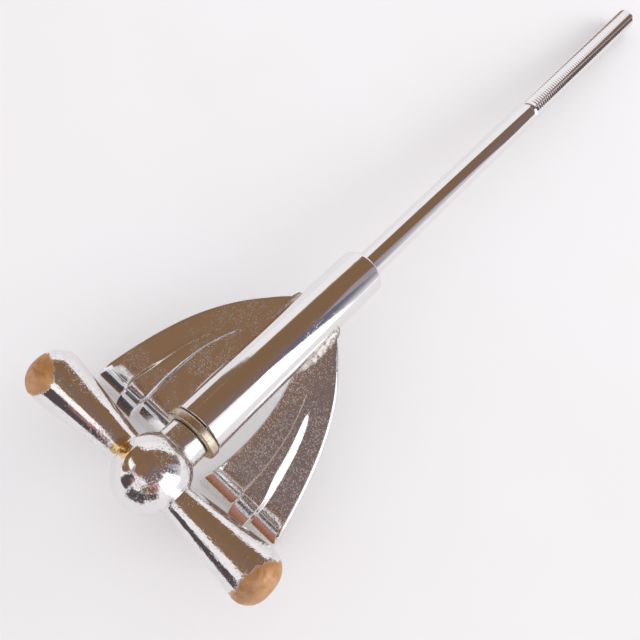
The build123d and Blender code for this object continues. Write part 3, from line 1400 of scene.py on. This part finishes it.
@dataclass(kw_only=True)
class BrazeBead(ClawPart):
    """Bead of braze metal in the corner between a wing's top and the sleeve.

    Attributes:
        start: Where it starts, along the rod from the hook.
        stop: Where it stops.
        leg: Its width on the wing and on the sleeve.
        sag: How hollow its face is, in shares of its width.
        sink: How far its back lies inwards and down, in the sleeve and the wing.
    """

    start: float
    leg: float
    stop: float = 33.0 * MM
    leg_wander: float = 0.35
    wander_run: float = MM / 0.9
    sag: float = 0.16
    grain: float = 0.8 * MM
    grain_height: float = 0.06 * MM
    sink: tuple[float, float] = (0.5 * MM, 0.35 * MM)
    rows: int = 110
    columns: int = 16

    def build(self) -> None:
        """Shape the bead and dress it."""
        mesh = bmesh.new()
        bmesh.ops.create_grid(mesh, x_segments=self.columns, y_segments=self.rows, size=0.5)
        radius = Span.of("claw_sleeve").size.y / 2
        for vert in mesh.verts:
            vert.co = self.place(vert.co.x + 0.5, vert.co.y + 0.5, radius)
        inwards, down = self.sink
        sink = Vector((0, -self.side.value * inwards, -down))
        bmesh.ops.translate(mesh, vec=sink, verts=self.add_back(mesh))
        bmesh.ops.recalc_face_normals(mesh, faces=mesh.faces[:])
        name = self.side.name.lower()
        bead = as_object(f"{name}_bead", mesh, RoughPlate(f"{name} rough plate").dress(), 50.0)
        settle(bead, f"{name}_braze", Body.CLAW)

    def place(self, across: float, share: float, radius: float) -> Vector:
        """Point on the bead's face.

        Args:
            across: From 0 on the wing to 1 on the sleeve.
            share: From 0 where the bead starts to 1 where it stops.
            radius: Radius of the sleeve.

        Returns:
            The point.
        """
        reach = self.start + (self.stop - self.start) * share
        height = reach * math.tan(self.tilt) - self.drop
        ends = math.sqrt(max(1.0 - (2 * share - 1) ** 4, 0.0))
        wander = noise.noise(Vector((reach / self.wander_run, 3.1, 0.0)))
        leg = self.leg * ends * (1.0 + self.leg_wander * wander)
        lean = math.asin(max(min(height / radius, 0.99), -0.99))
        climb = lean + leg / radius
        corner = Vector((radius * math.cos(lean), height))
        toe = corner + Vector((leg, 0.0))
        top = Vector((radius * math.cos(climb), radius * math.sin(climb)))
        inward = (corner - (toe + top) / 2).normalized() if leg > 1e-6 else Vector((0, 0))
        hollow = 4 * across * (1 - across)
        face = toe.lerp(top, across) + inward * (hollow * leg * self.sag)
        lumps = noise.noise(Vector((reach, face.x, face.y)) / self.grain) * ends * hollow**0.5
        face -= inward * (lumps * self.grain_height)
        return Vector((self.hook_x + reach, self.axis.y + self.side.value * face.x, self.axis.z + face.y))


# ---- The studio ----


@dataclass(frozen=True)
class Card:
    """A glowing card that only shows in the metal.

    Attributes:
        light: Colour and strength of its light.
        centre: Its centre, from the middle of the ball.
        size: Its width and height.
        facing: Point that it faces, from the middle of the ball, or None to lie level.
        along_rod: Whether it faces along the rod instead.
        turn: Turn in its own plane.
        soft: Share of each side over which it fades away.
        low_light: Light at the card's lower end, or None where it is the same all over.
        low_reach: Share of the height at which the lower end's light has gone.
    """

    name: str
    light: Colour
    centre: Triple
    size: tuple[float, float]
    facing: Triple | None = (0.03, 0.0, 0.0)
    along_rod: bool = False
    turn: float = 0.0
    soft: float = 0.1
    low_light: Colour | None = None
    low_reach: float = 0.5

    def hang(self, origin: Vector) -> None:
        """Make the card.

        Args:
            origin: Middle of the ball.
        """
        mesh = bmesh.new()
        mesh.loops.layers.uv.new("card")
        bmesh.ops.create_grid(mesh, x_segments=1, y_segments=1, size=0.5, calc_uvs=True)
        bmesh.ops.scale(mesh, vec=(*self.size, 1.0), verts=mesh.verts[:])
        place = Matrix.Translation(origin + Vector(self.centre))
        facing = (1.0, *self.centre[1:]) if self.along_rod else self.facing
        if facing is not None:
            look = Vector(facing) - Vector(self.centre)
            place = place @ look.to_track_quat("Z", "Y").to_matrix().to_4x4()
        place = place @ Matrix.Rotation(math.radians(self.turn), 4, "Z")
        bmesh.ops.transform(mesh, matrix=place, verts=mesh.verts[:])
        card = as_object(self.name.replace(" ", "_"), mesh, self.glow())
        card.visible_camera = False
        card.visible_diffuse = False
        card.visible_shadow = False

    def glow(self) -> Material:
        """Light that fades to clear at the card's borders.

        Returns:
            The material.
        """
        shader = Shader.of_material(self.name)
        place = {0: shader.node("ShaderNodeUVMap", {"uv_map": "card"})}
        across, along = (shader.node("ShaderNodeSeparateXYZ", None, place, axis) for axis in "XY")
        nearest = across.minimum(1.0 - across).minimum(along).minimum(1.0 - along)
        colour = shader.mix(along.ramp(0.0, self.low_reach), self.low_light or self.light, self.light)
        light = shader.node("ShaderNodeEmission", None, {"Color": colour, "Strength": 1.0})
        clear = shader.node("ShaderNodeBsdfTransparent")
        inputs = {0: nearest.ramp(0.0, self.soft), 1: clear, 2: light}
        return shader.end(shader.node("ShaderNodeMixShader", None, inputs))


ROOM = (
    Card("dim ceiling", (0.240, 0.140, 0.078), (1.13, -0.036, 1.2), (4.7, 2.15), None, turn=-41.0,
         soft=0.05, low_light=(0.225, 0.165, 0.165), low_reach=0.38),
    Card("near ceiling", (0.200, 0.146, 0.138), (-0.33, -0.34, 1.15), (0.98, 1.02), None, soft=0.03),
    Card("tan ceiling", (0.262, 0.152, 0.086), (-0.45, 0.42, 1.12), (0.86, 0.72), None, soft=0.05),
    Card("warm beam", (0.42, 0.20, 0.085), (0.62, 1.62, 1.15), (2.6, 0.34), None, turn=-41.0, soft=0.3),
    Card("brown wall", (0.245, 0.145, 0.082), (-0.24, 1.13, 0.54), (1.58, 1.12), soft=0.05),
    Card("window", (1.75, 1.75, 1.80), (0.31, -1.03, 0.50), (1.25, 1.24), soft=0.07),
    Card("blue wall", (0.36, 0.32, 0.37), (0.76, -0.62, 0.42), (0.34, 1.10), soft=0.10,
         low_light=(0.85, 0.84, 0.88), low_reach=0.75),
    Card("mauve wall", (0.205, 0.150, 0.145), (1.42, -0.66, 0.46), (1.04, 1.10), soft=0.08,
         low_light=(0.60, 0.58, 0.60), low_reach=0.3),
    Card("dark doorway", (0.15, 0.145, 0.20), (0.52, -0.61, 0.44), (0.20, 1.06), soft=0.12,
         low_light=(0.85, 0.84, 0.88), low_reach=0.6),
    Card("brown jacket", (0.225, 0.135, 0.090), (-0.80, -0.56, 0.60), (0.80, 0.42), soft=0.12),
    Card("dark coat", (0.12, 0.085, 0.085), (-0.86, -0.68, 0.20), (0.90, 0.44), soft=0.10),
    Card("pink sleeve", (0.46, 0.21, 0.18), (-0.62, -0.74, 0.72), (0.74, 0.66), soft=0.25),
)

BY_THE_HANDLE = (
    Card("bright sheet", (1.15, 1.12, 1.08), (-0.0094, 0.0205, 0.0150), (0.0074, 0.023), None, soft=0.12),
    Card("low edge", (0.10, 0.075, 0.080), (-0.05, -0.0135, 0.0045), (0.045, 0.032), along_rod=True),
    Card("dark lap", (0.10, 0.075, 0.080), (-0.05, 0.0245, 0.0235), (0.031, 0.050), along_rod=True),
    Card("pink cuff", (0.40, 0.19, 0.18), (-0.0495, 0.0165, 0.036), (0.014, 0.024), along_rod=True, soft=0.3),
)

BY_THE_HOOKS = (
    # Painted reflection: two pale strips that only the metal sees. They paint the thin light line in the bend
    # of the hooks.
    Card("left sill", (0.62, 0.61, 0.64), (-0.0025, 0.0195, -0.0101), (0.018, 0.0039), along_rod=True),
    Card("right sill", (0.62, 0.61, 0.62), (-0.0025, -0.015, -0.0101), (0.029, 0.0039), along_rod=True),
    # Painted shade: dark strips just under the arms. The metal mirrors them in place of the table lying in
    # the arms' shadow.
    Card("under left arm", (0.12, 0.11, 0.12), (0.0, 0.0185, -0.0068), (0.0036, 0.018), None, soft=0.2),
    Card("under right arm", (0.13, 0.12, 0.13), (0.0, -0.0185, -0.0068), (0.0036, 0.018), None, soft=0.2),
    # Painted shade and painted reflection: a warm card on the right and a dark one on the left, low in front
    # of the hooks. The hooks mirror them in place of the table lying in the arms' shade.
    Card("warm hook card", (0.46, 0.21, 0.17), (0.0015, -0.015, -0.01625), (0.029, 0.0117),
         (0.7295, -0.015, 0.6692), soft=0.10, low_light=(0.23, 0.10, 0.020), low_reach=0.8),
    Card("dark hook card", (0.065, 0.062, 0.075), (0.0015, 0.0195, -0.01625), (0.018, 0.0117),
         (0.7295, 0.0195, 0.6692), soft=0.12, low_light=(0.18, 0.080, 0.035), low_reach=0.6),
)


@dataclass
class Studio:
    """Pale table, soft light, cards that the metal mirrors, and the camera.

    Attributes:
        camera_from_ball: The camera's place, from the middle of the ball, as are the lamp's two.
        sight: Direction that it looks in.
        image_up: Direction that is up in its picture.
        lens: Its focal length in millimetres, as is the sensor's width.
        day: Strength of the even light.
        mirrored_day: The same where metal mirrors it or the camera sees it.
    """

    table_half: float = 4.0
    camera_from_ball: Triple = (-15.82 * MM, -16.19 * MM, 113.49 * MM)
    sight: Triple = (0.4601, 0.1160, -0.8802)
    image_up: Triple = (0.6181, 0.6699, 0.4114)
    lens: float = 36.0
    sensor_width: float = 36.0
    clip_start: float = 0.002
    table_tint: Colour = (0.93, 0.922, 0.915)
    table_cloud: Colour = (0.95, 0.948, 0.955)
    cloud_grain: float = 60.0 * MM
    day_tint: Colour = (0.98, 0.955, 0.975)
    day: float = 0.90
    mirrored_day: float = 1.0
    lamp_place: Triple = (0.95, -0.85, 0.62)
    lamp_target: Triple = (0.08, 0, 0)
    lamp_size: tuple[float, float] = (0.75, 0.55)
    lamp_power: float = 5.0

    def build(self) -> None:
        """Make everything round the object."""
        self.ball = ball_centre()
        self.set_camera()
        self.set_world()
        self.lay_table()
        for card in (*ROOM, *BY_THE_HANDLE, *BY_THE_HOOKS):
            card.hang(self.ball)
        self.hang_lamp()
        bpy.context.scene.view_settings.view_transform = "Standard"

    def set_camera(self) -> None:
        """Put the camera close above the handle, looking along the rod."""
        data = bpy.data.cameras.new("camera")
        data.lens = self.lens
        data.sensor_width = self.sensor_width
        data.clip_start = self.clip_start
        data.dof.use_dof = False
        camera = link("camera", data)
        back = -Vector(self.sight).normalized()
        right = Vector(self.image_up).cross(back).normalized()
        turn = Matrix((right, back.cross(right), back)).transposed()
        place = Matrix.Translation(self.ball + Vector(self.camera_from_ball))
        camera.matrix_world = place @ turn.to_4x4()
        bpy.context.scene.camera = camera

    def set_world(self) -> None:
        """Even light from all round, a little stronger where it is seen or mirrored."""
        world = bpy.data.worlds.new("room")
        bpy.context.scene.world = world
        shader = Shader(world)
        camera_ray = shader.node("ShaderNodeLightPath", output="Is Camera Ray")
        glossy_ray = shader.node("ShaderNodeLightPath", output="Is Glossy Ray")
        inputs = {"Value": camera_ray.maximum(glossy_ray), "To Min": self.day, "To Max": self.mirrored_day}
        strength = shader.node("ShaderNodeMapRange", None, inputs)
        inputs = {"Color": opaque(self.day_tint), "Strength": strength}
        shader.end(shader.node("ShaderNodeBackground", None, inputs), "ShaderNodeOutputWorld")

    def lay_table(self) -> None:
        """Pale table that touches the two hooks and the rod's tip."""
        rod = Span.of("tension_rod")
        claw = ClawWing(Side.LEFT)
        foot = Vector((claw.hook_x - claw.curl, 0, Span.of("left_wing").low.z))
        slope = math.atan2(rod.low.z - foot.z, rod.high.x - foot.x)
        mesh = bmesh.new()
        bmesh.ops.create_grid(mesh, x_segments=1, y_segments=1, size=self.table_half)
        place = Matrix.Translation(foot) @ Matrix.Rotation(-slope, 4, "Y")
        bmesh.ops.transform(mesh, matrix=place, verts=mesh.verts[:])
        shader = Shader.of_material("pale table")
        cloud = shader.noise(self.cloud_grain, 2.0).ramp(0.2, 0.8)
        colour = shader.mix(cloud, self.table_tint, self.table_cloud)
        material = shader.end(shader.node("ShaderNodeBsdfDiffuse", None, {"Color": colour}))
        table = as_object("table", mesh, material)

    def hang_lamp(self) -> None:
        """One broad, low, soft lamp at the window, which gives the faint long shadow."""
        data = bpy.data.lights.new("soft lamp", "AREA")
        data.shape = "RECTANGLE"
        data.size, data.size_y = self.lamp_size
        data.energy = self.lamp_power
        lamp = link("soft_lamp", data)
        lamp.location = self.ball + Vector(self.lamp_place)
        aim = self.ball + Vector(self.lamp_target) - lamp.location
        lamp.rotation_euler = aim.to_track_quat("-Z", "Y").to_euler()
        lamp.visible_glossy = False


# ---- The whole object ----


def main() -> None:
    """Build the object and the studio round it."""
    logging.basicConfig(level=logging.INFO, format="%(name)s: %(message)s")
    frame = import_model()
    thread = next(mount for mount in frame["record"]["mounts"] if mount["name"] == "threaded_end")
    THandle().build()
    NeckCollar().build()
    TensionRod(thread).build()
    Washer().build()
    ClawSleeve().build()
    for side in Side:
        ClawWing(side).build()
    BrazeBead(Side.LEFT, start=25.5 * MM, leg=0.85 * MM).build()
    BrazeBead(Side.RIGHT, start=20.6 * MM, leg=1.45 * MM).build()
    Studio().build()


if __name__ == "__main__":
    main()
